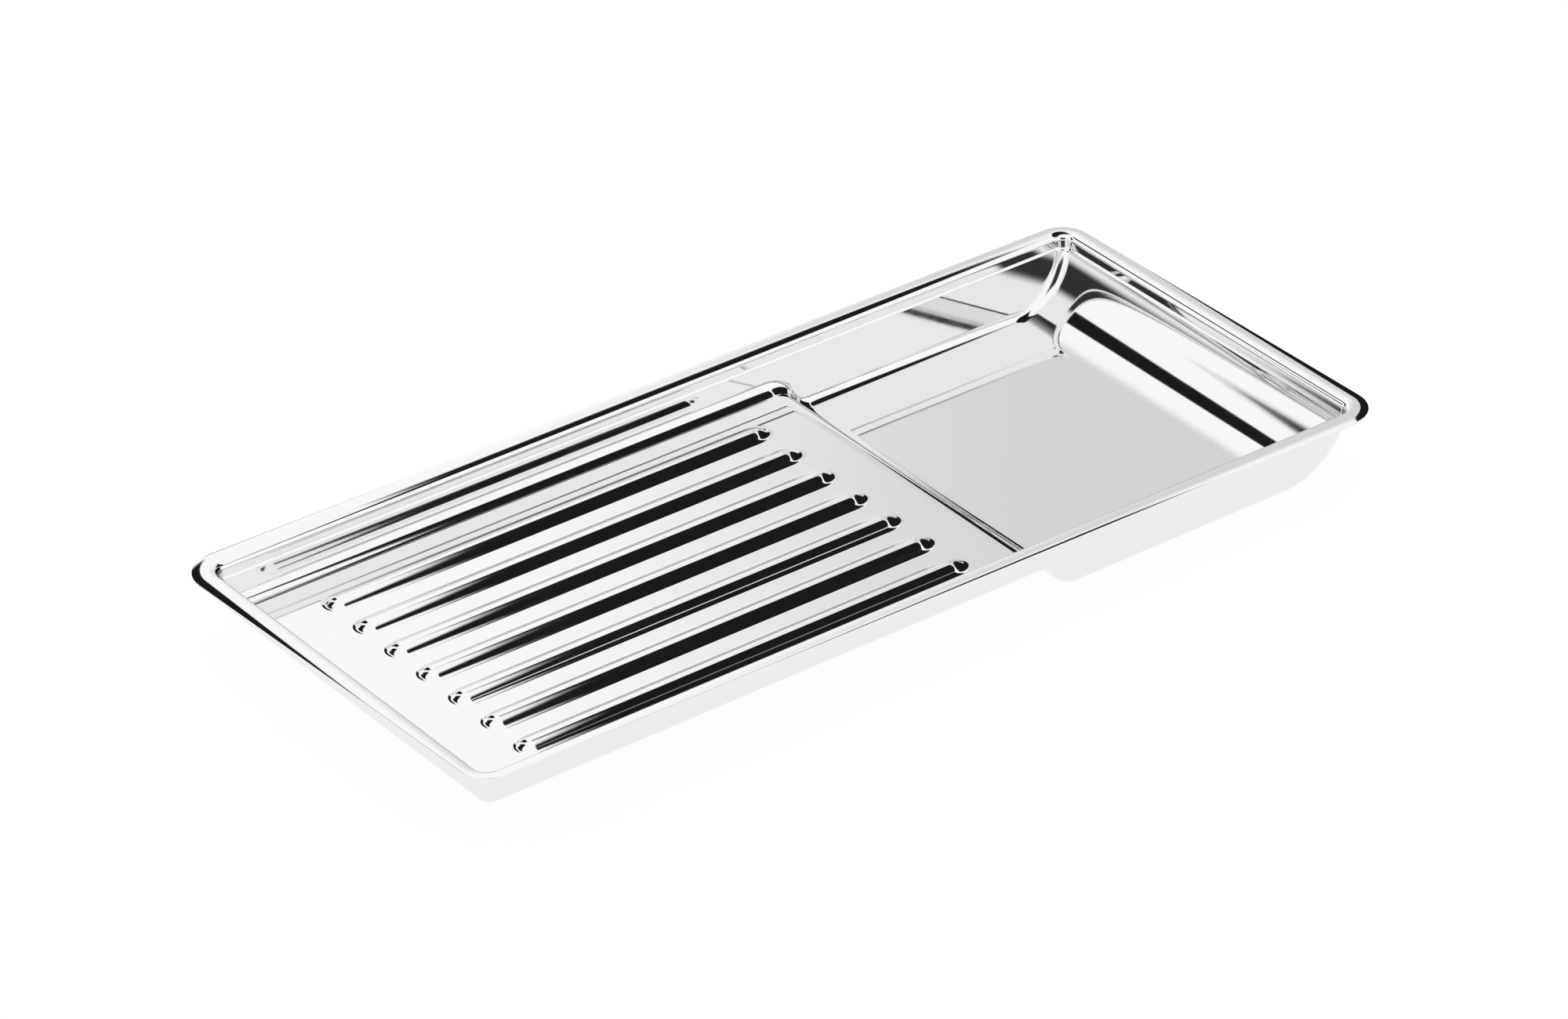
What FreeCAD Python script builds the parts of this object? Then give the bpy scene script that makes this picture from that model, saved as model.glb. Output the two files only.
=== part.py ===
"""Ribbed instrument tray: one pressed sheet of polished stainless steel.

The tray is the space between two nested solids, the outside of the pressing and
the hollow inside it, joined to a swept rim. Both solids come from the same
functions; only the sheet thickness separates them.
Millimetres, +Z up, origin under the middle of the tray on the resting plane.
"""
import FreeCAD, Part
import math
import os

import Sketcher

DOC = FreeCAD.newDocument("tray")
V = FreeCAD.Vector

BASE_SIZES = [
    ("rim_length", "225.0"),
    ("rim_width", "101.6"),
    ("total_height", "15.8"),
    ("sheet", "0.6"),
    ("neck_bend", "1.3"),
    ("rim_dome", "8.0"),
    ("rim_lean", "15"),
    ("neck_height", "1.5"),
    ("ledge", "0.4"),
    ("ledge_flat", "0.25"),
    ("rim_root", "0.15"),
    ("neck_corner", "2.8"),
    ("panel_drop", "9.15"),
    ("panel_inset", "1.5"),
    ("panel_bend", "1.2"),
    ("step_start", "27.5"),
    ("step_nose", "7.0"),
    ("step_foot", "5.0"),
    ("flare_length", "14.0"),
    ("flare_bend", "60.0"),
    ("overlap", "18.0"),
    ("scoop", "15.4"),
    ("rib_height", "1.3"),
    ("rib_crown", "3.6"),
    ("rib_foot", "2.0"),
    ("rib_pitch", "10.75"),
    ("rib_left", "91.0"),
    ("rib_right", "19.6"),
    ("underneath", "6.0"),
]

DERIVED_SIZES = [
    ("dome_side", "=rim_dome * sin(rim_lean * 1deg)"),
    ("bend_side", "=neck_bend * (1 - sin(rim_lean * 1deg))"),
    ("dome_rise", "=rim_dome * (1 - cos(rim_lean * 1deg))"),
    ("bend_height", "=total_height - dome_rise - neck_bend * cos(rim_lean * 1deg)"),
    ("neck_x", "=rim_length / 2 - bend_side - 2 * dome_side"),
    ("neck_y", "=rim_width / 2 - bend_side - 2 * dome_side"),
    ("ledge_top", "=bend_height - neck_height"),
    ("tub_top", "=ledge_top - ledge"),
    ("tub_roof", "=tub_top + ledge_flat"),
    ("tub_x", "=neck_x - ledge"),
    ("tub_y", "=neck_y - ledge"),
    ("tub_corner", "=neck_corner - ledge"),
    ("panel_top", "=total_height - panel_drop"),
    ("step_drop", "=panel_top - sheet"),
    ("step_turn", "=acos(1 - step_drop / (step_nose + step_foot)) / 1deg"),
    ("step_mid", "=step_start + step_nose * sin(step_turn * 1deg)"),
    ("step_end", "=step_start + (step_nose + step_foot) * sin(step_turn * 1deg)"),
    ("step_mid_z", "=panel_top - step_nose * (1 - cos(step_turn * 1deg))"),
    ("scoop_turn", "=acos(1 - (tub_roof - sheet) / scoop) / 1deg"),
    ("scoop_start", "=tub_x - scoop * sin(scoop_turn * 1deg)"),
    ("rib_axis", "=panel_top + rib_height - rib_crown"),
]


class Sizes:
    """The spreadsheet of driving dimensions, read back as plain numbers."""

    def __init__(self):
        self.sheet = DOC.addObject("Spreadsheet::Sheet", "sizes")
        for row, (name, text) in enumerate(BASE_SIZES + DERIVED_SIZES, 1):
            self.sheet.set("A%d" % row, name)
            self.sheet.set("B%d" % row, text)
            self.sheet.setAlias("B%d" % row, name)
        DOC.recompute()

    def get(self, name):
        found = self.sheet.get(name)
        return float(getattr(found, "Value", found))


S = Sizes()


def new_body(label):
    body = DOC.addObject("PartDesign::Body", label)
    body.Label = label
    return body


def role(body, wanted):
    """The body's own origin plane or axis with this role."""
    return [one for one in body.Origin.OriginFeatures if one.Role == wanted][0]


def new_sketch(body, plane, label):
    sketch = body.newObject("Sketcher::SketchObject", label)
    sketch.AttachmentSupport = (role(body, plane), [""])
    sketch.MapMode = "FlatFace"
    return sketch


class Outline:
    """A closed or open chain of lines and arcs whose ends are bound to sizes."""

    def __init__(self, sketch):
        self.sketch = sketch
        self.first = None
        self.last = None
        self.spot = None
        self.start_spot = None

    def bind(self, kind, *where, text=""):
        number = self.sketch.addConstraint(Sketcher.Constraint(kind, *where))
        self.sketch.setExpression("Constraints[%d]" % number, text)

    def pin(self, edge, end, spot):
        self.bind("DistanceX", -1, 1, edge, end, spot[0][0], text=spot[0][1])
        self.bind("DistanceY", -1, 1, edge, end, spot[1][0], text=spot[1][1])

    def begin(self, x, y):
        self.spot = (x, y)
        self.start_spot = (x, y)
        return self

    def _join(self, edge, start_end, stop_end, target, closing):
        if self.last is None:
            self.first = (edge, start_end)
            self.pin(edge, start_end, self.spot)
        else:
            last_edge, last_end = self.last
            self.sketch.addConstraint(
                Sketcher.Constraint("Coincident", last_edge, last_end, edge, start_end)
            )
        if closing:
            first_edge, first_end = self.first
            self.sketch.addConstraint(
                Sketcher.Constraint("Coincident", edge, stop_end, first_edge, first_end)
            )
        else:
            self.pin(edge, stop_end, target)
        self.last = (edge, stop_end)
        self.spot = target

    def line(self, x, y, closing=False):
        start = V(self.spot[0][0], self.spot[1][0], 0)
        stop = V(x[0], y[0], 0)
        edge = self.sketch.addGeometry(Part.LineSegment(start, stop), False)
        self._join(edge, 1, 2, (x, y), closing)
        return self

    def arc(self, x, y, radius, turn, closing=False):
        """An arc to a point; turn is +1 counter-clockwise or -1 clockwise."""
        start = V(self.spot[0][0], self.spot[1][0], 0)
        stop = V(x[0], y[0], 0)
        across = stop - start
        reach = math.sqrt(max(radius[0] ** 2 - (across.Length / 2) ** 2, 0.0))
        side = V(-across.y, across.x, 0).normalize()
        centre = start + across * 0.5 + side * (reach * turn)
        low, high = (start, stop) if turn > 0 else (stop, start)
        first = math.atan2(low.y - centre.y, low.x - centre.x)
        last = math.atan2(high.y - centre.y, high.x - centre.x)
        circle = Part.Circle(centre, V(0, 0, 1), radius[0])
        edge = self.sketch.addGeometry(Part.ArcOfCircle(circle, first, last), False)
        ends = (1, 2) if turn > 0 else (2, 1)
        self._join(edge, ends[0], ends[1], (x, y), closing)
        self.bind("Radius", edge, radius[0], text=radius[1])
        return self

    def close(self):
        return self.line(self.start_spot[0], self.start_spot[1], closing=True)


def at(name, sign=1, more="", grow=0.0):
    """A bound length: a size, its sign, plus what is added in words and number."""
    text = ("-" if sign < 0 else "") + "(sizes." + name + (" + " + more if more else "") + ")"
    return (sign * (S.get(name) + grow), text)


class Skin:
    """How far one of the two nested solids lies outside the hollow."""

    def __init__(self, tag, sheets):
        self.tag = tag
        self.grow = sheets * S.get("sheet")
        self.sheets = sheets

    def out(self, name, sign=1):
        return at(name, sign, "%d * sizes.sheet" % self.sheets, self.grow)

    def less(self, name, sign=1):
        return at(name, sign, "-%d * sizes.sheet" % self.sheets, -self.grow)

    def mixed(self, name, more, amount, sign=1):
        words = "%s + %d * sizes.sheet" % (more, self.sheets)
        return at(name, sign, words, amount + self.grow)


def rounded_box(sketch, half_x, half_y, corner):
    """A rounded rectangle about the origin; each value is a bound length."""
    def shift(value, sign):
        text = "%s(%s - %s)" % ("-" if sign < 0 else "", value[1], corner[1])
        return (sign * (value[0] - corner[0]), text)

    def signed(value, sign):
        return (sign * value[0], "%s(%s)" % ("-" if sign < 0 else "", value[1]))

    line = Outline(sketch).begin(shift(half_x, -1), signed(half_y, -1))
    line.line(shift(half_x, 1), signed(half_y, -1))
    line.arc(signed(half_x, 1), shift(half_y, -1), corner, 1)
    line.line(signed(half_x, 1), shift(half_y, 1))
    line.arc(shift(half_x, 1), signed(half_y, 1), corner, 1)
    line.line(shift(half_x, -1), signed(half_y, 1))
    line.arc(signed(half_x, -1), shift(half_y, 1), corner, 1)
    line.line(signed(half_x, -1), shift(half_y, -1))
    line.arc(shift(half_x, -1), signed(half_y, -1), corner, 1, closing=True)
    return line


def fillet(body, feature, wanted, radius, text, label):
    """Round every edge of a feature for which wanted(edge) holds."""
    names = [
        "Edge%d" % number
        for number, edge in enumerate(feature.Shape.Edges, 1)
        if wanted(edge)
    ]
    rounding = body.newObject("PartDesign::Fillet", label)
    rounding.Base = (feature, names)
    rounding.Radius = radius
    rounding.setExpression("Radius", text)
    DOC.recompute()
    return rounding


def spans(edge, axis):
    box = edge.BoundBox
    return {"x": (box.XMin, box.XMax), "y": (box.YMin, box.YMax), "z": (box.ZMin, box.ZMax)}[axis]


def near(value, target, slack=1e-3):
    return abs(value - target) < slack


def rim_ring():
    """The domed rim, the bend under it, the neck and the small ledge."""
    body = new_body("rim_ring")
    path = new_sketch(body, "XY_Plane", "rim_path")
    rounded_box(path, at("neck_x"), at("neck_y"), at("neck_corner"))
    section = new_sketch(body, "XZ_Plane", "rim_section")
    lean = "sin(sizes.rim_lean * 1deg)"
    rise = "cos(sizes.rim_lean * 1deg)"
    sine = math.sin(math.radians(S.get("rim_lean")))
    cosine = math.cos(math.radians(S.get("rim_lean")))
    sheet = S.get("sheet")
    bend = S.get("neck_bend")

    def out(words, amount):
        return at("neck_x", 1, words, amount)

    def up(words, amount):
        return at("bend_height", 1, words, amount)

    dome = 2 * S.get("dome_side")
    line = Outline(section)
    root = S.get("rim_root")
    line.begin(
        at("tub_x", 1, "sizes.rim_root", root),
        at("tub_top", 1, "sizes.rim_root", root),
    )
    line.line(at("neck_x"), at("ledge_top"))
    line.line(at("neck_x"), at("bend_height"))
    line.arc(
        out("sizes.bend_side", S.get("bend_side")),
        up("sizes.neck_bend * " + rise, bend * cosine),
        at("neck_bend"),
        -1,
    )
    line.arc(
        out("sizes.bend_side + 2 * sizes.dome_side", S.get("bend_side") + dome),
        up("sizes.neck_bend * " + rise, bend * cosine),
        at("rim_dome"),
        -1,
    )
    line.line(
        out(
            "sizes.bend_side + 2 * sizes.dome_side - sizes.sheet * " + lean,
            S.get("bend_side") + dome - sheet * sine,
        ),
        up("(sizes.neck_bend - sizes.sheet) * " + rise, (bend - sheet) * cosine),
    )
    line.arc(
        out("sizes.bend_side + sizes.sheet * " + lean, S.get("bend_side") + sheet * sine),
        up("(sizes.neck_bend - sizes.sheet) * " + rise, (bend - sheet) * cosine),
        at("rim_dome", 1, "-sizes.sheet", -sheet),
        1,
    )
    line.arc(
        out("sizes.sheet", sheet),
        at("bend_height"),
        at("neck_bend", 1, "-sizes.sheet", -sheet),
        1,
    )
    line.line(out("sizes.sheet", sheet), at("ledge_top"))
    line.line(
        at("tub_x", 1, "sizes.rim_root", root),
        at("tub_top", 1, "sizes.rim_root - sizes.sheet", root - sheet),
    )
    line.close()
    DOC.recompute()
    pipe = body.newObject("PartDesign::AdditivePipe", "rim_sweep")
    pipe.Profile = section
    pipe.Spine = (path, ["Edge%d" % n for n in range(1, 9)])
    DOC.recompute()
    return body


def shallow_tub(skin):
    """The shallow part: sloping walls down to the flat panel, left and middle."""
    body = new_body("shallow_" + skin.tag)
    top = new_sketch(body, "XY_Plane", "shallow_top_" + skin.tag)
    low = new_sketch(body, "XY_Plane", "shallow_low_" + skin.tag)
    right = skin.out("step_start")
    right = (right[0] + S.get("overlap"), right[1] + " + sizes.overlap")
    corner = skin.out("tub_corner")

    def outline(sketch, inset):
        more = "-sizes.panel_inset" if inset else ""
        amount = -S.get("panel_inset") if inset else 0.0
        words = (more + " + " if more else "") + "%d * sizes.sheet" % skin.sheets
        half_x = at("tub_x", 1, words, amount + skin.grow)
        half_y = at("tub_y", 1, words, amount + skin.grow)

        def signed(value, sign, cut=False):
            text = value[1] + (" - " + corner[1] if cut else "")
            number = value[0] - (corner[0] if cut else 0.0)
            return (sign * number, "%s(%s)" % ("-" if sign < 0 else "", text))

        line = Outline(sketch).begin(right, signed(half_y, -1))
        line.line(right, signed(half_y, 1))
        line.line(signed(half_x, -1, True), signed(half_y, 1))
        line.arc(signed(half_x, -1), signed(half_y, 1, True), corner, 1)
        line.line(signed(half_x, -1), signed(half_y, -1, True))
        line.arc(signed(half_x, -1, True), signed(half_y, -1), corner, 1)
        line.close()

    outline(top, False)
    outline(low, True)
    top.setExpression(".AttachmentOffset.Base.z", "sizes.tub_roof")
    low.setExpression(
        ".AttachmentOffset.Base.z", "sizes.panel_top - %d * sizes.sheet" % skin.sheets
    )
    DOC.recompute()
    loft = body.newObject("PartDesign::AdditiveLoft", "shallow_block_" + skin.tag)
    loft.Profile = top
    loft.Sections = [low]
    loft.Ruled = True
    DOC.recompute()
    floor = S.get("panel_top") - skin.grow
    wall = right[0]

    def wanted(edge):
        low_z, high_z = spans(edge, "z")
        low_x, high_x = spans(edge, "x")
        return near(low_z, floor) and near(high_z, floor) and low_x < wall - 0.1

    fillet(
        body, loft, wanted, S.get("panel_bend") + skin.grow,
        "sizes.panel_bend + %d * sizes.sheet" % skin.sheets, "shallow_round_" + skin.tag,
    )
    return body


def deep_tub(skin):
    """The deep part: curved step, flat floor and the scooped right end."""
    body = new_body("deep_" + skin.tag)
    plan = new_sketch(body, "XY_Plane", "deep_plan_" + skin.tag)
    start = at("step_start")
    narrow = at(
        "tub_y", 1, "-sizes.panel_inset + %d * sizes.sheet" % skin.sheets,
        skin.grow - S.get("panel_inset"),
    )
    wide = skin.out("tub_y")
    flare = at("step_start", 1, "sizes.flare_length", S.get("flare_length"))
    end = skin.out("tub_x")

    def minus(value):
        return (-value[0], "-(%s)" % value[1])

    line = Outline(plan).begin(start, minus(narrow))
    line.line(flare, minus(wide))
    line.line(end, minus(wide))
    line.line(end, wide)
    line.line(flare, wide)
    line.line(start, narrow)
    line.close()
    plan.setExpression(".AttachmentOffset.Base.z", "sizes.tub_roof")
    DOC.recompute()
    pad = body.newObject("PartDesign::Pad", "deep_block_" + skin.tag)
    pad.Profile = plan
    pad.Reversed = True
    pad.Length = S.get("tub_roof") + S.get("underneath")
    pad.setExpression("Length", "sizes.tub_roof + sizes.underneath")
    DOC.recompute()

    def at_flare(edge):
        low_x, high_x = spans(edge, "x")
        return near(low_x, flare[0]) and near(high_x, flare[0])

    fillet(
        body, pad, at_flare, S.get("flare_bend"), "sizes.flare_bend", "flare_round_" + skin.tag
    )
    side = new_sketch(body, "XZ_Plane", "deep_side_" + skin.tag)
    turn = math.radians(S.get("step_turn"))
    grow = skin.grow
    many = skin.sheets
    mid_x = at(
        "step_mid", 1, "-%d * sizes.sheet * sin(sizes.step_turn * 1deg)" % many,
        -grow * math.sin(turn),
    )
    mid_z = at(
        "step_mid_z", 1, "-%d * sizes.sheet * cos(sizes.step_turn * 1deg)" % many,
        -grow * math.cos(turn),
    )
    scoop_turn = math.radians(S.get("scoop_turn"))
    reach = S.get("scoop") + grow
    top_x = at(
        "scoop_start", 1,
        "(sizes.scoop + %d * sizes.sheet) * sin(sizes.scoop_turn * 1deg)" % many,
        reach * math.sin(scoop_turn),
    )
    top_z = at(
        "sheet", 1,
        "sizes.scoop - (sizes.scoop + %d * sizes.sheet) * cos(sizes.scoop_turn * 1deg)" % many,
        S.get("scoop") - reach * math.cos(scoop_turn),
    )
    low = ((-S.get("underneath") - 1.0), "-(sizes.underneath + 1)")
    far = at("rim_length", 1, "", 0.0)
    floor = at("sheet", 1, "-%d * sizes.sheet + 0.00001" % many, -grow + 0.00001)
    line = Outline(side).begin(start, skin.less("panel_top"))
    line.arc(mid_x, mid_z, at("step_nose", 1, "-%d * sizes.sheet" % many, -grow), -1)
    line.arc(at("step_end"), floor, at("step_foot", 1, "%d * sizes.sheet" % many, grow), 1)
    line.line(at("scoop_start"), floor)
    line.arc(top_x, top_z, at("scoop", 1, "%d * sizes.sheet" % many, grow), 1)
    line.line(far, top_z)
    line.line(far, low)
    line.line(at("step_start", 1, "-sizes.underneath", -S.get("underneath")), low)
    line.line(at("step_start", 1, "-sizes.underneath", -S.get("underneath")), skin.less("panel_top"))
    line.close()
    DOC.recompute()
    cut = body.newObject("PartDesign::Pocket", "deep_carve_" + skin.tag)
    cut.Profile = side
    cut.Type = 1
    cut.Midplane = True
    DOC.recompute()
    half = S.get("tub_y") + grow

    def wanted(edge):
        low_y, high_y = spans(edge, "y")
        low_z, high_z = spans(edge, "z")
        low_x, high_x = spans(edge, "x")
        side_edge = (low_y > half - 4.0) or (high_y < -half + 4.0)
        not_top = not (near(low_z, S.get("tub_roof")) and near(high_z, S.get("tub_roof")))
        along = high_x - low_x > 0.02
        return side_edge and not_top and along

    fillet(
        body, cut, wanted, S.get("tub_corner") + grow,
        "sizes.tub_corner + %d * sizes.sheet" % many, "deep_round_" + skin.tag,
    )
    return body


def rib_bodies(skin):
    """Seven round-ended bars, the crowns of the ribs."""
    body = new_body("ribs_" + skin.tag)
    section = new_sketch(body, "XZ_Plane", "rib_section_" + skin.tag)
    section.setExpression(".AttachmentOffset.Base.y", "sizes.rib_axis")
    section.setExpression(".AttachmentOffset.Base.z", "3 * sizes.rib_pitch")
    crown = at("rib_crown", 1, "-%d * sizes.sheet" % skin.sheets, -skin.grow)
    left = at("rib_left", -1, "-sizes.rib_crown", -S.get("rib_crown"))
    right = at("rib_right", 1, "-sizes.rib_crown", -S.get("rib_crown"))
    zero = (0.0, "0")
    tip_left = (left[0] - crown[0], left[1] + " - " + crown[1])
    tip_right = (right[0] + crown[0], right[1] + " + " + crown[1])
    line = Outline(section).begin(tip_left, zero)
    line.line(tip_right, zero)
    line.arc(right, crown, crown, 1)
    line.line(left, crown)
    line.arc(tip_left, zero, crown, 1, closing=True)
    DOC.recompute()
    bar = body.newObject("PartDesign::Revolution", "rib_bar_" + skin.tag)
    bar.Profile = section
    bar.ReferenceAxis = (section, ["H_Axis"])
    bar.Angle = 360
    DOC.recompute()
    row = body.newObject("PartDesign::LinearPattern", "rib_row_" + skin.tag)
    row.Originals = [bar]
    row.Direction = (role(body, "Y_Axis"), [""])
    row.setExpression("Length", "6 * sizes.rib_pitch")
    row.Occurrences = 7
    body.Tip = row
    DOC.recompute()
    return body


def ribbed_solid(skin, radius):
    """One nested solid: both tubs joined, ribs pressed in, rib feet rounded."""
    joined = DOC.addObject("Part::MultiFuse", "tub_" + skin.tag)
    joined.Shapes = [shallow_tub(skin), deep_tub(skin)]
    joined.Refine = True
    ribbed = DOC.addObject("Part::Cut", "ribbed_" + skin.tag)
    ribbed.Base = joined
    ribbed.Tool = rib_bodies(skin)
    DOC.recompute()
    floor = S.get("panel_top") - skin.grow
    right = S.get("rib_right") + 0.5
    left = -S.get("rib_left") - 0.5
    side = 3 * S.get("rib_pitch") + S.get("rib_crown")

    def foot(edge):
        low_z, high_z = spans(edge, "z")
        low_x, high_x = spans(edge, "x")
        low_y, high_y = spans(edge, "y")
        level = near(low_z, floor) and near(high_z, floor)
        return level and low_x > left and high_x < right and low_y > -side and high_y < side

    rounded = DOC.addObject("Part::Fillet", "rounded_" + skin.tag)
    rounded.Base = ribbed
    rounded.Edges = [
        (number, radius, radius)
        for number, edge in enumerate(ribbed.Shape.Edges, 1)
        if foot(edge)
    ]
    DOC.recompute()
    return rounded


def check(names):
    """Stop when any object failed or any named shape is unsound."""
    for one in DOC.Objects:
        if "Invalid" in one.State or "Error" in one.State:
            raise RuntimeError("%s is not sound: %s" % (one.Name, one.State))
    for name in names:
        shape = DOC.getObject(name).Shape
        if shape.isNull() or not shape.isValid():
            raise RuntimeError("%s has no sound shape" % name)
        box = shape.BoundBox
        FreeCAD.Console.PrintMessage(
            "%s volume %.1f solids %d box %.2f %.2f %.2f to %.2f %.2f %.2f\n"
            % (name, shape.Volume, len(shape.Solids), box.XMin, box.YMin, box.ZMin,
               box.XMax, box.YMax, box.ZMax)
        )


def main():
    ring = rim_ring()
    hollow = ribbed_solid(Skin("hollow", 0), S.get("rib_foot"))
    outside = ribbed_solid(Skin("outside", 1), S.get("rib_foot") + S.get("sheet"))
    tub = DOC.addObject("Part::Cut", "tub_shell")
    tub.Base = outside
    tub.Tool = hollow
    tray = DOC.addObject("Part::MultiFuse", "pressed_tray")
    tray.Shapes = [tub, ring]
    tray.Refine = True
    tray.Label = "pressed_tray"
    DOC.recompute()
    check([ring.Name, hollow.Name, outside.Name, tub.Name, tray.Name])
    os.makedirs("parts", exist_ok=True)
    tray.Shape.exportStep("parts/pressed_tray.step")


main()
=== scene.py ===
"""Looks of a ribbed instrument tray: one sheet of steel, pressed, trimmed and mirror polished."""

import logging
import math
from dataclasses import dataclass, field
from enum import Enum

import bpy
import numpy as np
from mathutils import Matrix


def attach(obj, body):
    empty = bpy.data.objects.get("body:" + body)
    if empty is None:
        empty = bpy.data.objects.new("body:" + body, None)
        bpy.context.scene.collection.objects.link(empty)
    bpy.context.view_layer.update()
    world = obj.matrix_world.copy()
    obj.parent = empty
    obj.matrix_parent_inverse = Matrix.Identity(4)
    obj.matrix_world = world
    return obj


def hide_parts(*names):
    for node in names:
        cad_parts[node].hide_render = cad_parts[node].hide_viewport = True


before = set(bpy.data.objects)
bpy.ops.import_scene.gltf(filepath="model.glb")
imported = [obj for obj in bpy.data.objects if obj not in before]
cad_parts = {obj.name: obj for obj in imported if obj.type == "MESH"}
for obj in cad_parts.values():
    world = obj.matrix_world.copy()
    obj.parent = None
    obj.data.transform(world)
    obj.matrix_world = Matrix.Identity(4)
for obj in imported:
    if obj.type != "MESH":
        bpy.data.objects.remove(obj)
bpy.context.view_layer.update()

Array = np.ndarray
LOG = logging.getLogger("tray")
MILLIMETRE = 0.001
ROUNDING = 1e-9


def round_inside(first: Array, second: Array, radius: Array | float) -> Array:
    """Distance inside two walls whose shared corner is rounded.

    Args:
        first: distance inside the first wall, positive inside.
        second: distance inside the second wall.
        radius: radius of the corner.

    Returns:
        Distance inside both, zero on the rounded surface.
    """
    nearest = np.minimum(first, second)
    curved = radius - np.hypot(np.maximum(radius - first, 0), np.maximum(radius - second, 0))
    return np.where(nearest < radius, curved, nearest)


def ease(value: Array, start: float, end: float) -> Array:
    """Smooth step with a level start and end.

    Args:
        value: places to read the step at.
        start: where it leaves 0.
        end: where it arrives at 1.

    Returns:
        The step at each place, from 0 to 1.
    """
    part = np.clip((value - start) / (end - start), 0, 1)
    return part * part * part * (part * (6 * part - 15) + 10)


def lines_between(stretches: list[tuple[float, float, float]]) -> Array:
    """Positions of mesh lines along an axis.

    Args:
        stretches: start, end and largest step of each stretch, end to end.

    Returns:
        Increasing positions that hold every start and end once.
    """
    places = [stretches[0][0]]
    for start, end, step in stretches:
        count = max(1, math.ceil((end - start) / step - ROUNDING))
        places.extend(np.linspace(start, end, count + 1)[1:])
    return np.array(places)


def unit(vectors: Array) -> Array:
    """Vectors along the last axis, scaled to length one."""
    return vectors / np.linalg.norm(vectors, axis=-1, keepdims=True)


class Skin(Enum):
    """The two faces of the sheet."""

    INSIDE = "inside"
    UNDERSIDE = "underside"


@dataclass
class Ribs:
    """Seven raised round-ended ribs on the shallow panel, in millimetres."""

    count: int = 7
    pitch: float = 10.75
    left: float = -91.0
    right: float = 19.6
    height: float = 1.3
    crown: float = 3.6
    foot: float = 2.0
    tip_stretch: float = 1.5

    def rise(self, x: Array, y: Array) -> Array:
        """Height of the ribs above the panel.

        Args:
            x: places along the tray.
            y: places across the tray.

        Returns:
            Height at each place, zero between the ribs.
        """
        middle = (self.count - 1) / 2
        lane = np.clip(np.round(y / self.pitch), -middle, middle) * self.pitch
        sunk = self.crown - self.height
        reach = math.sqrt((self.crown + self.foot) ** 2 - (self.foot + sunk) ** 2)
        turn = reach * self.crown / (self.crown + self.foot)
        before = np.minimum(x - self.left - reach, 0)
        beyond = np.maximum(x - self.right + reach * self.tip_stretch, 0) / self.tip_stretch
        away = np.hypot(before + beyond, y - lane)
        top = np.sqrt(np.maximum(self.crown**2 - away**2, 0)) - sunk
        low = self.foot - np.sqrt(np.maximum(self.foot**2 - (reach - away) ** 2, 0))
        return np.where(away < turn, top, np.where(away < reach, low, 0.0))


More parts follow.
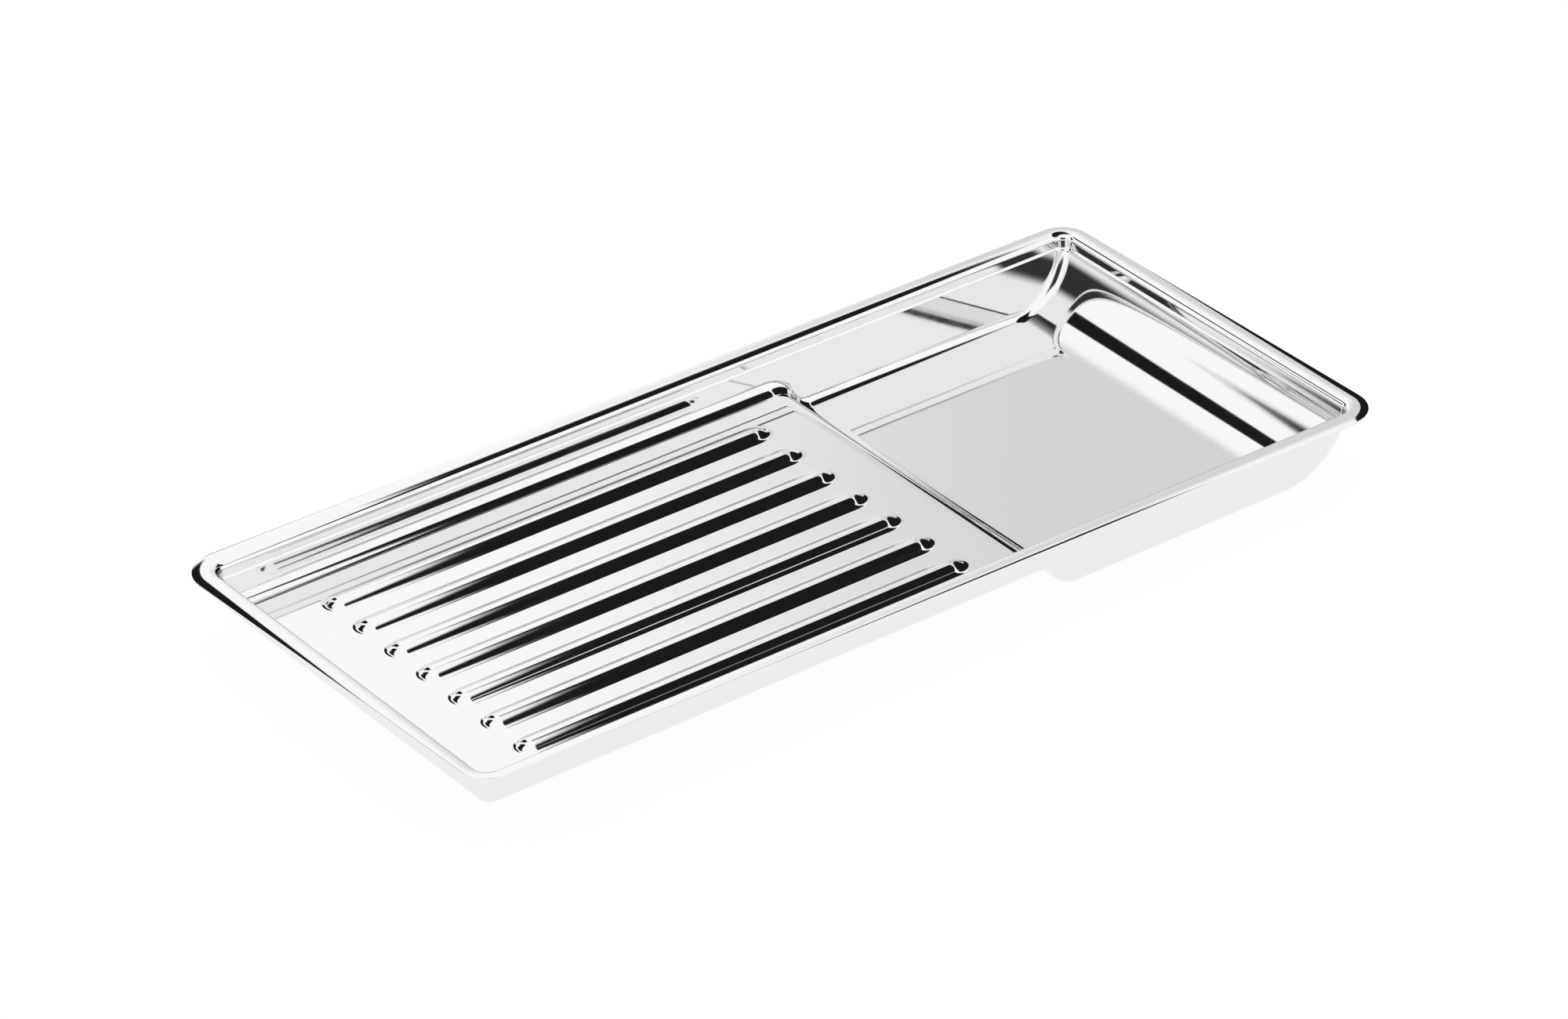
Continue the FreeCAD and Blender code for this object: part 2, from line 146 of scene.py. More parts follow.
@dataclass
class Tub:
    """The hollow of the tray: shallow ribbed part, step, deep well and scooped end, in millimetres.

    The corner centres of the plan lie at half_x and half_y. The wall's top is top_reach
    outside them.
    """

    half_x: float = 104.5954
    half_y: float = 42.8954
    top_reach: float = 2.4
    top: float = 12.3717
    panel: float = 6.65
    floor: float = 0.6
    step_start: float = 27.5
    nose: float = 7.0
    foot: float = 5.0
    scoop: float = 15.4
    shallow_lean: float = 0.15
    deep_lean: float = 0.13
    shallow_bend: float = 2.4
    deep_bend: float = 1.8
    scoop_bend: float = 2.4
    change_start: float = 25.0
    change_end: float = 41.0
    longest_reach: float = 40.0
    halvings: int = 44
    ribs: Ribs = field(default_factory=Ribs)

    @property
    def scoop_start(self) -> float:
        """Where the level well floor turns up into the scoop."""
        centre = self.floor + self.scoop
        return self.half_x + self.top_reach - math.sqrt(self.scoop**2 - (centre - self.top) ** 2)

    @property
    def step_turn(self) -> float:
        """Steepest slope of the step, in radians."""
        return math.acos(1 - (self.panel - self.floor) / (self.nose + self.foot))

    def ground(self, x: Array, z: Array) -> Array:
        """Distance above the panel, step, well floor and scoop.

        Args:
            x: places along the tray.
            z: heights.

        Returns:
            Distance at each place, zero on the ground without its ribs.
        """
        turn = self.step_turn
        knee = self.step_start + self.nose * math.sin(turn)
        end = knee + self.foot * math.sin(turn)
        over = np.clip(x - self.step_start, 0, self.nose * math.sin(turn))
        under = np.clip(end - x, 0, self.foot * math.sin(turn))
        on_nose = self.panel - self.nose + np.sqrt(self.nose**2 - over**2)
        on_foot = self.floor + self.foot - np.sqrt(self.foot**2 - under**2)
        height = np.where(x < knee, on_nose, on_foot)
        cosine = np.where(
            x < knee,
            np.sqrt(1 - (over / self.nose) ** 2),
            np.sqrt(1 - (under / self.foot) ** 2),
        )
        level = (z - height) * cosine
        scooped = self.scoop - np.hypot(x - self.scoop_start, z - self.floor - self.scoop)
        return np.where(x > self.scoop_start, scooped, level)

    def inside(self, place: Array) -> Array:
        """Distance inside the hollow.

        Args:
            place: points, with x, y and z along the last axis.

        Returns:
            Distance at each point, zero on the sheet's inner face.
        """
        x, y, z = place[..., 0], place[..., 1], place[..., 2]
        change = ease(x, self.change_start, self.change_end)
        lean = self.shallow_lean + (self.deep_lean - self.shallow_lean) * change
        drop = self.top - z
        side = (self.half_y + self.top_reach - lean * drop - np.abs(y)) / np.hypot(1, lean)
        end = x + self.half_x + self.top_reach - self.shallow_lean * drop
        end = end / math.hypot(1, self.shallow_lean)
        walls = round_inside(side, end, self.top_reach)
        bend = self.shallow_bend + (self.deep_bend - self.shallow_bend) * change
        bend = bend + (self.scoop_bend - self.deep_bend) * ease(x, self.scoop_start, self.half_x)
        ground = self.ground(x, z) - self.ribs.rise(x, y)
        return round_inside(walls, ground, bend)

    def facing(self, place: Array) -> Array:
        """Unit normals of the sheet's inner face.

        Args:
            place: points on the face, with x, y and z along the last axis.

        Returns:
            A normal at each point, pointing into the hollow.
        """
        step = 1e-4
        slopes = []
        for axis in range(3):
            shift = np.zeros(3)
            shift[axis] = step
            slopes.append(self.inside(place + shift) - self.inside(place - shift))
        return unit(np.stack(slopes, -1))

    def reach(self, start: Array, heading: Array) -> Array:
        """Where lines from inside the hollow meet its face.

        Args:
            start: points inside the hollow.
            heading: unit directions.

        Returns:
            The meeting points.
        """
        near = np.zeros(np.broadcast_shapes(start.shape, heading.shape)[:-1])
        far = np.full_like(near, self.longest_reach)
        for _ in range(self.halvings):
            middle = (near + far) / 2
            free = self.inside(start + heading * middle[..., None]) > 0
            near = np.where(free, middle, near)
            far = np.where(free, far, middle)
        return start + heading * near[..., None]


@dataclass
class Rim:
    """Section of the domed rim, its bend, neck and ledge, outwards from the corner centres."""

    neck_reach: float = 2.8
    ledge_rise: float = 0.65
    bend_height: float = 14.2717
    bend: float = 1.3
    dome: float = 8.0
    lean: float = math.radians(15.0)
    edge_round: float = 0.09
    trim_all_round: float = -0.825
    trim_along: float = -0.075
    trim_across: float = 0.175
    trim_skew: float = -0.875
    inner_pull: float = 0.27
    outer_pull: float = 0.3
    bend_points: int = 8
    dome_points: int = 15
    edge_points: int = 5
    under_dome_points: int = 12
    under_bend_points: int = 6
    ledge_points: int = 9

    def outer_lean(self, place: Array) -> Array:
        """Slope of the dome at its trimmed edge, which is drawn slightly askew round the plan.

        Args:
            place: x and y from -1 to 1 along the last axis, for each station.

        Returns:
            Slope in radians at every station.
        """
        x, y = place[..., 0], place[..., 1]
        cut = self.trim_all_round + self.trim_along * x + self.trim_across * y
        cut = cut + self.trim_skew * x * y
        return np.arcsin(math.sin(self.lean) + cut / self.dome)

    def arc(
        self, centre: tuple[float, float], radius: float, start: float, end: float, count: int
    ) -> tuple[Array, Array]:
        """Points and outward normals of an arc in the section.

        Args:
            centre: reach and height of the arc's centre.
            radius: radius of the arc.
            start: first angle in radians, from outwards towards up.
            end: last angle.
            count: number of points, the ends among them.

        Returns:
            The points and the normals that point away from the centre.
        """
        angle = np.linspace(start, end, count)
        out = np.stack([np.cos(angle), np.sin(angle)], -1)
        return np.array(centre) + radius * out, out

    def upper(self, sheet: float, outer: float) -> tuple[Array, Array]:
        """Section of the upper face from the neck's foot to the trimmed edge.

        Args:
            sheet: thickness of the sheet.
            outer: slope of the dome at its trimmed edge, in radians.

        Returns:
            Points and normals in reach and height, the trimmed edge among them.
        """
        centre = (self.neck_reach + self.bend, self.bend_height)
        bend, bend_out = self.arc(
            centre, self.bend, math.pi, math.pi / 2 + self.lean, self.bend_points
        )
        start = bend[-1]
        middle = (
            start[0] + self.dome * math.sin(self.lean),
            start[1] - self.dome * math.cos(self.lean),
        )
        tip = outer - self.edge_round / self.dome
        dome, dome_out = self.arc(
            middle, self.dome, math.pi / 2 + self.lean, math.pi / 2 - tip, self.dome_points
        )
        corner = self.edge_round
        slope = math.pi / 2 - outer
        direction = np.array([math.cos(slope), math.sin(slope)])
        along = np.array([math.sin(slope), -math.cos(slope)])
        outer = np.array(middle) + direction * self.dome
        first = outer - direction * corner - along * corner
        second = outer - direction * (sheet - corner) - along * corner
        side = slope - math.pi / 2
        turn_one, out_one = self.arc(tuple(first), corner, slope, side, self.edge_points)
        turn_two, out_two = self.arc(
            tuple(second), corner, side, slope - math.pi, self.edge_points
        )
        points = np.concatenate([bend, dome[1:-1], turn_one, turn_two])
        normals = np.concatenate([bend_out, dome_out[1:-1], out_one, out_two])
        under, under_out = self.lower(sheet, middle, tip)
        return np.concatenate([points, under]), np.concatenate([normals, under_out])

    def lower(
        self, sheet: float, middle: tuple[float, float], tip: float
    ) -> tuple[Array, Array]:
        """Section of the lower face, from the trimmed edge back to the neck.

        Args:
            sheet: thickness of the sheet.
            middle: centre of the dome's arc.
            tip: slope of the dome where the edge's rounding begins, in radians.

        Returns:
            Points and normals in reach and height.
        """
        top = math.pi / 2 + self.lean
        dome, dome_out = self.arc(
            middle, self.dome - sheet, math.pi / 2 - tip, top, self.under_dome_points
        )
        centre = (self.neck_reach + self.bend, self.bend_height)
        bend, bend_out = self.arc(
            centre, self.bend - sheet, top, math.pi, self.under_bend_points
        )
        points = np.concatenate([dome[1:], bend[1:]])
        return points, -np.concatenate([dome_out[1:], bend_out[1:]])

    def ledge(self, foot: Array, slope: Array, skin: Skin, sheet: float) -> tuple[Array, Array]:
        """Smooth small ledge between the wall's top and the upright neck, at every station.

        Args:
            foot: reach and height of the wall's top at each station.
            slope: direction up the wall in reach and height at each station.
            skin: which face of the sheet this is.
            sheet: thickness of the sheet.

        Returns:
            Points and normals, ring by ring from the wall to the neck, without the wall's own ring.
        """
        inner = skin is Skin.INSIDE
        pull = self.inner_pull if inner else self.outer_pull
        reach = self.neck_reach + (0.0 if inner else sheet)
        top = np.array([reach, foot[..., 1].max() + self.ledge_rise])
        top = np.broadcast_to(top, foot.shape)
        first = foot + slope * pull
        second = top - np.array([0.0, pull])
        points = []
        normals = []
        for part in np.linspace(0, 1, self.ledge_points)[1:]:
            rest = 1 - part
            points.append(
                rest**3 * foot
                + 3 * rest**2 * part * first
                + 3 * rest * part**2 * second
                + part**3 * top
            )
            along = unit(
                rest**2 * (first - foot) + 2 * rest * part * (second - first)
                + part**2 * (top - second)
            )
            normal = np.stack([-along[..., 1], along[..., 0]], -1)
            normals.append(normal if inner else -normal)
        return np.array(points), np.array(normals)


@dataclass(frozen=True)
class MirrorSteel:
    """Polished stainless steel: bright, with faint polishing lines and handling marks."""

    name: str = "polished_steel"
    tint: tuple[float, float, float, float] = (0.85, 0.85, 0.845, 1.0)
    sharpest: float = 0.03
    dullest: float = 0.075
    line_scale: tuple[float, float, float] = (30.0, 900.0, 900.0)
    line_share: float = 0.35
    cloud_scale: float = 45.0
    swell_scale: float = 70.0
    swell_depth: float = 0.00004
    swell_strength: float = 0.25
    line_depth: float = 0.00001
    line_strength: float = 0.06

    def build(self) -> bpy.types.Material:
        """Mixes the finish from its fields.

        Returns:
            The finish as a node material.
        """
        material = bpy.data.materials.new(self.name)
        material.use_nodes = True
        tree = material.node_tree
        shader = tree.nodes["Principled BSDF"]
        shader.inputs["Base Color"].default_value = self.tint
        shader.inputs["Metallic"].default_value = 1.0
        place = tree.nodes.new("ShaderNodeTexCoord")
        brushed = tree.nodes.new("ShaderNodeMapping")
        brushed.inputs["Scale"].default_value = self.line_scale
        tree.links.new(place.outputs["Object"], brushed.inputs["Vector"])
        lines = tree.nodes.new("ShaderNodeTexNoise")
        lines.inputs["Scale"].default_value = 1.0
        lines.inputs["Detail"].default_value = 4.0
        tree.links.new(brushed.outputs["Vector"], lines.inputs["Vector"])
        cloud = tree.nodes.new("ShaderNodeTexNoise")
        cloud.inputs["Scale"].default_value = self.cloud_scale
        cloud.inputs["Detail"].default_value = 5.0
        cloud.inputs["Roughness"].default_value = 0.65
        tree.links.new(place.outputs["Object"], cloud.inputs["Vector"])
        both = tree.nodes.new("ShaderNodeMath")
        both.operation = "MULTIPLY_ADD"
        both.inputs[1].default_value = self.line_share
        tree.links.new(lines.outputs["Fac"], both.inputs[0])
        tree.links.new(cloud.outputs["Fac"], both.inputs[2])
        gloss = tree.nodes.new("ShaderNodeMapRange")
        gloss.inputs["From Min"].default_value = 0.5
        gloss.inputs["From Max"].default_value = 0.95
        gloss.inputs["To Min"].default_value = self.sharpest
        gloss.inputs["To Max"].default_value = self.dullest
        tree.links.new(both.outputs[0], gloss.inputs["Value"])
        tree.links.new(gloss.outputs["Result"], shader.inputs["Roughness"])
        swell = tree.nodes.new("ShaderNodeTexNoise")
        swell.inputs["Scale"].default_value = self.swell_scale
        swell.inputs["Detail"].default_value = 1.0
        tree.links.new(place.outputs["Object"], swell.inputs["Vector"])
        soft = tree.nodes.new("ShaderNodeBump")
        soft.inputs["Strength"].default_value = self.swell_strength
        soft.inputs["Distance"].default_value = self.swell_depth
        tree.links.new(swell.outputs["Fac"], soft.inputs["Height"])
        fine = tree.nodes.new("ShaderNodeBump")
        fine.inputs["Strength"].default_value = self.line_strength
        fine.inputs["Distance"].default_value = self.line_depth
        tree.links.new(lines.outputs["Fac"], fine.inputs["Height"])
        tree.links.new(soft.outputs["Normal"], fine.inputs["Normal"])
        tree.links.new(fine.outputs["Normal"], shader.inputs["Normal"])
        return material


@dataclass
class PressedTray:
    """The whole tray: one closed mesh of both faces of the sheet and its trimmed edge."""

    sheet: float = 0.6
    wall_rings: int = 30
    corner_steps: int = 14
    trial_angles: int = 361
    ring_gap: float = 0.9
    ring_turn: float = math.radians(7)
    tip_outside: float = 2.5
    tip_inside: float = 6.0
    end_step: float = 0.8
    fine_step: float = 0.28
    rib_step: float = 2.4
    panel_step: float = 0.5
    well_step: float = 1.6
    scoop_step: float = 0.4
    across_step: float = 0.34
    tub: Tub = field(default_factory=Tub)
    rim: Rim = field(default_factory=Rim)
    finish: MirrorSteel = field(default_factory=MirrorSteel)

    def lines(self) -> tuple[Array, Array]:
        """Mesh lines of the panel, step and well, close together where the shape turns.

        Returns:
            Increasing positions along and across the tray.
        """
        tub = self.tub
        ribs = tub.ribs
        left, right = ribs.left, ribs.right
        out, within = self.tip_outside, self.tip_inside
        x = lines_between(
            [
                (-tub.half_x, left - out, self.end_step),
                (left - out, left + within, self.fine_step),
                (left + within, right - within, self.rib_step),
                (right - within, right + out, self.fine_step),
                (right + out, tub.step_start, self.panel_step),
                (tub.step_start, tub.change_end, self.fine_step),
                (tub.change_end, tub.scoop_start, self.well_step),
                (tub.scoop_start, tub.half_x, self.scoop_step),
            ]
        )
        y = lines_between([(-tub.half_y, tub.half_y, self.across_step)])
        return x, y

    def stations(self, x: Array, y: Array) -> tuple[Array, Array, Array]:
        """Points round the plan that every ring of the mesh passes.

        Args:
            x: mesh lines along the tray.
            y: mesh lines across the tray.

        Returns:
            Base points, unit directions outwards, and each station's place in the grid of lines.
        """
        last_x, last_y = len(x) - 1, len(y) - 1
        sides = [
            ([(i, 0) for i in range(last_x + 1)], -90),
            ([(last_x, j) for j in range(last_y + 1)], 0),
            ([(i, last_y) for i in range(last_x, -1, -1)], 90),
            ([(0, j) for j in range(last_y, -1, -1)], 180),
        ]
        cells, angles = [], []
        for places, angle in sides:
            cells += places
            angles += [angle] * len(places)
            for step in range(1, self.corner_steps):
                cells.append(places[-1])
                angles.append(angle + 90 * step / self.corner_steps)
        cells = np.array(cells)
        turn = np.radians(np.array(angles, float))
        base = np.stack([x[cells[:, 0]], y[cells[:, 1]]], -1)
        outwards = np.stack([np.cos(turn), np.sin(turn)], -1)
        return base, outwards, cells[:, 0] * len(y) + cells[:, 1]

    def wall(self, base: Array, outwards: Array) -> tuple[Array, Array]:
        """Rings of the tub's wall from its top down to the grid's border.

        Args:
            base: base points of the stations.
            outwards: unit directions of the stations.

        Returns:
            Points and normals, ring by ring, without the border's own ring.
        """
        tub = self.tub
        pivot = np.concatenate([base, np.full((len(base), 1), tub.top)], -1)
        many = np.linspace(0, math.pi / 2, self.trial_angles)

        def headings(angle: Array) -> Array:
            """Unit directions at each station.

            Args:
                angle: how far below level each direction points, in radians.

            Returns:
                The directions, with x, y and z along the last axis.
            """
            level = outwards[None] * np.cos(angle)[..., None]
            down = -np.sin(angle)[..., None]
            return np.concatenate([level, down], -1)

        spread = np.broadcast_to(many[:, None], (len(many), len(base)))
        trial = tub.reach(pivot[None], headings(spread))
        facing = tub.facing(trial)
        gap = np.linalg.norm(np.diff(trial, axis=0), axis=-1) / self.ring_gap
        turn = np.linalg.norm(np.diff(facing, axis=0), axis=-1) / self.ring_turn
        weight = np.concatenate([np.zeros((1, len(base))), np.cumsum(gap + turn, axis=0)])
        wanted = np.linspace(0, 1, self.wall_rings + 1)[:-1]
        angle = np.stack(
            [
                np.interp(wanted * weight[-1, column], weight[:, column], many)
                for column in range(len(base))
            ],
            -1,
        )
        points = tub.reach(pivot[None], headings(angle))
        return points, tub.facing(points)

    def swept(
        self, base: Array, outwards: Array, section: Array, ways: Array
    ) -> tuple[Array, Array]:
        """A section carried round the plan.

        Args:
            base: base points of the stations.
            outwards: unit directions of the stations.
            section: reach and height, for each ring or for each ring and station.
            ways: normals of the section, in the same layout.

        Returns:
            Points and normals, ring by ring.
        """
        if section.ndim == 2:
            section = np.repeat(section[:, None], len(base), axis=1)
            ways = np.repeat(ways[:, None], len(base), axis=1)
        level = base[None] + outwards[None] * section[..., :1]
        points = np.concatenate([level, section[..., 1:]], -1)
        normals = np.concatenate([outwards[None] * ways[..., :1], ways[..., 1:]], -1)
        return points, normals

    def shell(self) -> tuple[Array, Array, list[tuple[int, ...]]]:
        """Joins the tub and the rim into one closed sheet.

        Returns:
            Points and normals in millimetres, and the point numbers of every face.
        """
        tub, rim = self.tub, self.rim
        x, y = self.lines()
        base, outwards, border = self.stations(x, y)
        grid = np.stack(np.meshgrid(x, y, indexing="ij"), -1).reshape(-1, 2)
        above = np.concatenate([grid, np.full((len(grid), 1), tub.top)], -1)
        bed = tub.reach(above, np.array([0.0, 0.0, -1.0]))
        bed_facing = tub.facing(bed)
        wall, wall_facing = self.wall(base, outwards)
        wall, wall_facing = wall[::-1], wall_facing[::-1]
        under_wall = wall - self.sheet * wall_facing

        def in_section(points: Array) -> Array:
            """Reach and height of points, one for each station."""
            reach = np.sum((points[..., :2] - base) * outwards, -1)
            return np.stack([reach, points[..., 2]], -1)

        along = np.sum(wall_facing[-1, :, :2] * outwards, -1)
        upwards = unit(np.stack([wall_facing[-1, :, 2], -along], -1))
        inner = rim.ledge(in_section(wall[-1]), upwards, Skin.INSIDE, self.sheet)
        outer = rim.ledge(in_section(under_wall[-1]), upwards, Skin.UNDERSIDE, self.sheet)
        half = np.array([tub.half_x, tub.half_y])
        cuts = [rim.upper(self.sheet, lean) for lean in rim.outer_lean(base / half)]
        section = np.stack([points for points, _ in cuts], 1)
        ways = np.stack([normals for _, normals in cuts], 1)
        rings = [
            (wall, wall_facing),
            self.swept(base, outwards, *inner),
            self.swept(base, outwards, section, ways),
            self.swept(base, outwards, outer[0][::-1], outer[1][::-1]),
            (under_wall[::-1], -wall_facing[::-1]),
        ]
        loops = np.concatenate([points for points, _ in rings])
        loop_ways = np.concatenate([normals for _, normals in rings])
        points = np.concatenate([bed, loops.reshape(-1, 3), bed - self.sheet * bed_facing])
        normals = np.concatenate([bed_facing, loop_ways.reshape(-1, 3), -bed_facing])
        faces = self.faces(len(x), len(y), border, len(loops))
        return points, normals, faces

    def faces(self, rows: int, columns: int, border: Array, loops: int) -> list[tuple[int, ...]]:
        """Faces of the shell.

        Args:
            rows: mesh lines along the tray.
            columns: mesh lines across the tray.
            border: each station's place in the grid.
            loops: number of rings between the two grids.

        Returns:
            Point numbers of every face.
        """
        made: list[tuple[int, ...]] = []
        cells = rows * columns
        count = len(border)
        second = cells + loops * count
        for i in range(rows - 1):
            for j in range(columns - 1):
                a = i * columns + j
                b, c, d = a + columns, a + columns + 1, a + 1
                made.append((a, b, c, d))
                made.append((second + a, second + d, second + c, second + b))
        rings = [border]
        rings += [cells + loop * count + np.arange(count) for loop in range(loops)]
        rings.append(second + border)
        for lower, upper in zip(rings[:-1], rings[1:]):
            for here in range(count):
                there = (here + 1) % count
                corners = (lower[here], upper[here], upper[there], lower[there])
                kept = tuple(dict.fromkeys(int(corner) for corner in corners))
                if len(kept) > 2:
                    made.append(kept)
        return made

    def build(self) -> bpy.types.Object:
        """Makes the tray and dresses it.

        Returns:
            The finished tray, riding on the frame in place of its plain solid.
        """
        points, normals, faces = self.shell()
        mesh = bpy.data.meshes.new("pressed_sheet")
        mesh.from_pydata((points * MILLIMETRE).tolist(), [], faces)
        mesh.shade_smooth()
        mesh.normals_split_custom_set_from_vertices(normals.tolist())
        mesh.update()
        tray = bpy.data.objects.new("pressed_sheet", mesh)
        bpy.context.scene.collection.objects.link(tray)
        mesh.materials.append(self.finish.build())
        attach(tray, "root")
        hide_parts("pressed_tray")
        LOG.info("pressed sheet: %d points, %d faces", len(mesh.vertices), len(mesh.polygons))
        return tray


@dataclass(frozen=True)
class Glow:
    """One soft-edged area of the bright room, in degrees round and above the tray."""

    turn: tuple[float, float]
    height: tuple[float, float]
    glow: float
    soft: tuple[float, float] = (3.0, 3.0)

    def cover(self, turn: Array, height: Array) -> Array:
        """How much of each direction this area covers.

        Args:
            turn: degrees round the tray.
            height: degrees above the floor.

        Returns:
            Cover from 0 to 1.
        """
        middle = (self.turn[0] + self.turn[1]) / 2
        half = (self.turn[1] - self.turn[0]) / 2
        aside = np.abs((turn - middle + 180) % 360 - 180)
        across = np.ones_like(turn)
        if half < 180:
            across = 1 - ease(aside, half - self.soft[0], half + self.soft[0])
        low = ease(height, self.height[0] - self.soft[1], self.height[0] + self.soft[1])
        high = 1 - ease(height, self.height[1] - self.soft[1], self.height[1] + self.soft[1])
        return across * low * high


@dataclass(frozen=True)
class Card:
    """A black card with a soft edge that stands or hangs in the room, in metres."""

    name: str
    corners: tuple[tuple[float, float, float], ...]
    soft: float = 0.12
    steps: int = 24

    def build(self, material: bpy.types.Material) -> bpy.types.Object:
        """Makes the card as a fine grid whose opacity fades at its border.

        Args:
            material: the black of the card.

        Returns:
            The card, standing in the studio.
        """
        across = np.linspace(0, 1, self.steps + 1)
        u, v = np.meshgrid(across, across, indexing="ij")
        a, b, c, d = (np.array(corner) for corner in self.corners)
        u3, v3 = u[..., None], v[..., None]
        points = (1 - u3) * (1 - v3) * a + u3 * (1 - v3) * b + u3 * v3 * c + (1 - u3) * v3 * d
        edge = np.minimum(np.minimum(u, 1 - u), np.minimum(v, 1 - v))
        cover = ease(edge, 0.0, self.soft)
        row = self.steps + 1
        faces = [
            (i * row + j, (i + 1) * row + j, (i + 1) * row + j + 1, i * row + j + 1)
            for i in range(self.steps)
            for j in range(self.steps)
        ]
        mesh = bpy.data.meshes.new(self.name)
        mesh.from_pydata(points.reshape(-1, 3).tolist(), [], faces)
        layer = mesh.attributes.new("cover", "FLOAT", "POINT")
        layer.data.foreach_set("value", cover.reshape(-1).astype(np.float32))
        mesh.materials.append(material)
        card = bpy.data.objects.new(self.name, mesh)
        bpy.context.scene.collection.objects.link(card)
        card.visible_camera = False
        card.visible_diffuse = False
        card.visible_shadow = False
        return card


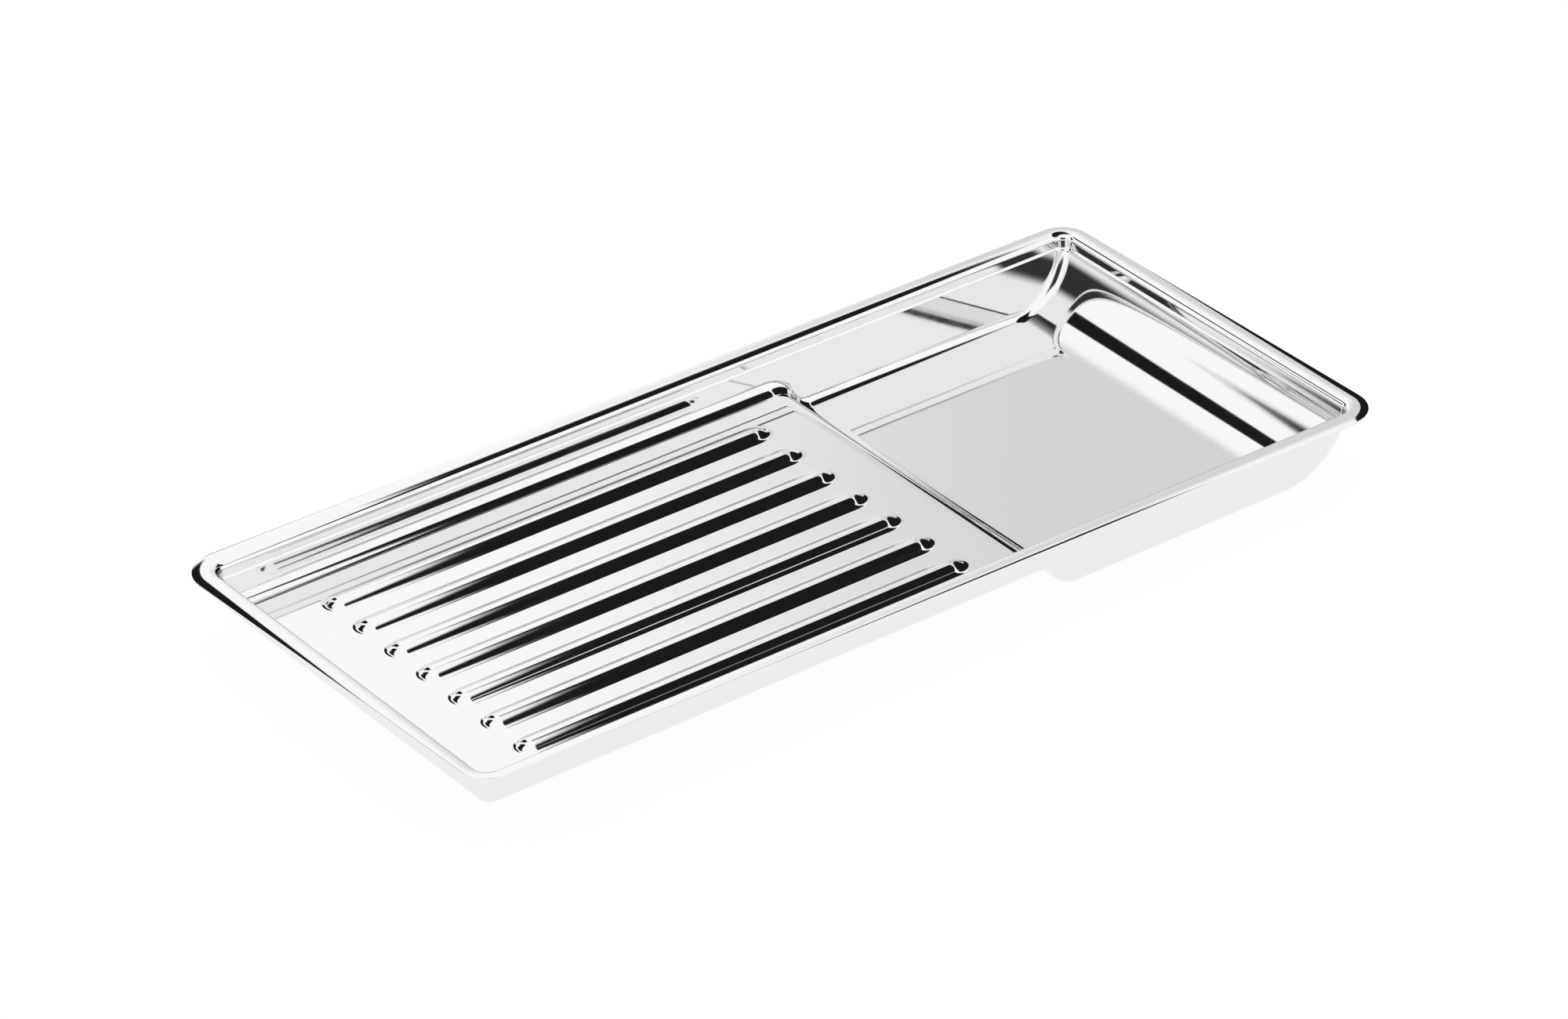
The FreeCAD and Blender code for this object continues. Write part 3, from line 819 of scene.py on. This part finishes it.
@dataclass
class Studio:
    """Camera, pale floor and the soft white room with its dark gaps."""

    room_size: float = 0.75
    room_foot: float = -2.0
    room_turns: int = 360
    room_heights: int = 140
    floor_size: float = 12.0
    floor_tint: tuple[float, float, float, float] = (0.12, 0.12, 0.12, 1.0)
    floor_glow: float = 0.9
    card_glow: float = 0.012
    lens: float = 170.93
    sensor: float = 36.0
    nearest: float = 0.05
    farthest: float = 50.0
    camera_place: tuple[float, float, float] = (-0.76109, -1.00786, 0.78922)
    camera_turn: tuple[float, float, float] = (58.33897, 0.57453, -37.34778)
    glows: tuple[Glow, ...] = (
        Glow((-180, 180), (-30, 120), 1.1, (0.0, 3.0)),
        Glow((0, 54), (-20, 38), 0.76, (10.0, 8.0)),
        Glow((15, 120), (-8, 8), 0.3, (8.0, 4.0)),
        Glow((-150, -104), (12, 52), 0.04, (8.0, 7.0)),
    )
    cards: tuple[Card, ...] = (
        Card(
            "card_above",
            ((0.145, -0.27, 0.5), (0.37, -0.27, 0.5), (0.47, 0.42, 0.5), (0.225, 0.36, 0.5)),
            0.07,
        ),
        Card(
            "card_behind",
            ((-0.09, 0.39, 0.1), (0.06, 0.39, 0.12), (0.09, 0.39, 0.6), (-0.09, 0.39, 0.56)),
        ),
        Card(
            "card_left",
            ((-0.5, 0.25, 0.08), (-0.13, 0.25, 0.15), (-0.13, 0.25, 0.6), (-0.5, 0.25, 0.75)),
        ),
        Card(
            "card_right",
            ((0.55, -0.25, 0.0), (0.55, 0.57, 0.0), (0.5, 0.57, 0.66), (0.5, -0.25, 0.66)),
            0.1,
        ),
    )

    def camera(self) -> bpy.types.Object:
        """Sets up the camera above the front left corner, with a long lens.

        Returns:
            The camera.
        """
        data = bpy.data.cameras.new("camera")
        data.lens = self.lens
        data.sensor_width = self.sensor
        data.clip_start = self.nearest
        data.clip_end = self.farthest
        body = bpy.data.objects.new("camera", data)
        bpy.context.scene.collection.objects.link(body)
        body.location = self.camera_place
        body.rotation_euler = [math.radians(turn) for turn in self.camera_turn]
        bpy.context.scene.camera = body
        return body

    def floor(self) -> bpy.types.Object:
        """Lays the pale floor that the tray stands on.

        Returns:
            The floor.
        """
        half = self.floor_size / 2
        mesh = bpy.data.meshes.new("floor")
        corners = [(-half, -half, 0), (half, -half, 0), (half, half, 0), (-half, half, 0)]
        mesh.from_pydata(corners, [], [(0, 1, 2, 3)])
        plane = bpy.data.objects.new("floor", mesh)
        bpy.context.scene.collection.objects.link(plane)
        material = bpy.data.materials.new("pale_floor")
        material.use_nodes = True
        shader = material.node_tree.nodes["Principled BSDF"]
        shader.inputs["Base Color"].default_value = self.floor_tint
        shader.inputs["Roughness"].default_value = 1.0
        shader.inputs["Specular IOR Level"].default_value = 0.0
        shader.inputs["Emission Color"].default_value = (1.0, 1.0, 1.0, 1.0)
        shader.inputs["Emission Strength"].default_value = self.floor_glow
        material.cycles.emission_sampling = "NONE"
        mesh.materials.append(material)
        return plane

    def room(self) -> bpy.types.Object:
        """Raises the dome of soft light round the tray, which the camera does not see.

        Returns:
            The dome.
        """
        turns = np.linspace(-180, 180, self.room_turns + 1)[:-1]
        heights = np.linspace(self.room_foot, 90, self.room_heights)
        turn, height = np.meshgrid(turns, heights, indexing="ij")
        glow = np.zeros_like(turn)
        for area in self.glows:
            cover = area.cover(turn, height)
            glow = glow * (1 - cover) + area.glow * cover
        level = np.cos(np.radians(height)) * self.room_size
        points = np.stack(
            [
                level * np.cos(np.radians(turn)),
                level * np.sin(np.radians(turn)),
                np.sin(np.radians(height)) * self.room_size,
            ],
            -1,
        )
        columns = len(heights)
        faces = []
        for i in range(len(turns)):
            here = i * columns
            there = (i + 1) % len(turns) * columns
            for j in range(columns - 1):
                faces.append((here + j, here + j + 1, there + j + 1, there + j))
        mesh = bpy.data.meshes.new("room")
        mesh.from_pydata(points.reshape(-1, 3).tolist(), [], faces)
        layer = mesh.attributes.new("glow", "FLOAT", "POINT")
        layer.data.foreach_set("value", glow.reshape(-1).astype(np.float32))
        material = bpy.data.materials.new("soft_room")
        material.use_nodes = True
        tree = material.node_tree
        tree.nodes.clear()
        output = tree.nodes.new("ShaderNodeOutputMaterial")
        emission = tree.nodes.new("ShaderNodeEmission")
        reader = tree.nodes.new("ShaderNodeAttribute")
        reader.attribute_name = "glow"
        tree.links.new(reader.outputs["Fac"], emission.inputs["Strength"])
        tree.links.new(emission.outputs["Emission"], output.inputs["Surface"])
        material.cycles.emission_sampling = "NONE"
        mesh.materials.append(material)
        dome = bpy.data.objects.new("room", mesh)
        bpy.context.scene.collection.objects.link(dome)
        dome.visible_camera = False
        dome.visible_shadow = False
        return dome

    def card_black(self) -> bpy.types.Material:
        """Mixes the black that fades to nothing where a card's cover fades.

        Returns:
            The black as a node material.
        """
        material = bpy.data.materials.new("card_black")
        material.use_nodes = True
        tree = material.node_tree
        tree.nodes.clear()
        output = tree.nodes.new("ShaderNodeOutputMaterial")
        clear = tree.nodes.new("ShaderNodeBsdfTransparent")
        black = tree.nodes.new("ShaderNodeEmission")
        black.inputs["Strength"].default_value = self.card_glow
        mix = tree.nodes.new("ShaderNodeMixShader")
        reader = tree.nodes.new("ShaderNodeAttribute")
        reader.attribute_name = "cover"
        tree.links.new(reader.outputs["Fac"], mix.inputs["Fac"])
        tree.links.new(clear.outputs["BSDF"], mix.inputs[1])
        tree.links.new(black.outputs["Emission"], mix.inputs[2])
        tree.links.new(mix.outputs["Shader"], output.inputs["Surface"])
        material.cycles.emission_sampling = "NONE"
        return material

    def build(self) -> None:
        """Sets up camera, floor, room, cards and the plain white surroundings."""
        self.camera()
        self.floor()
        self.room()
        black = self.card_black()
        for card in self.cards:
            card.build(black)
        world = bpy.data.worlds.new("surroundings")
        world.use_nodes = True
        world.node_tree.nodes["Background"].inputs["Color"].default_value = (1, 1, 1, 1)
        world.node_tree.nodes["Background"].inputs["Strength"].default_value = 1.0
        bpy.context.scene.world = world
        bpy.context.scene.view_settings.view_transform = "Standard"
        LOG.info("studio: %d bright areas, %d cards", len(self.glows), len(self.cards))


def main() -> None:
    """Builds the studio and the tray, piece by piece."""
    logging.basicConfig(level=logging.INFO, format="%(name)s: %(message)s")
    Studio().build()
    PressedTray().build()


if __name__ == "__main__":
    main()
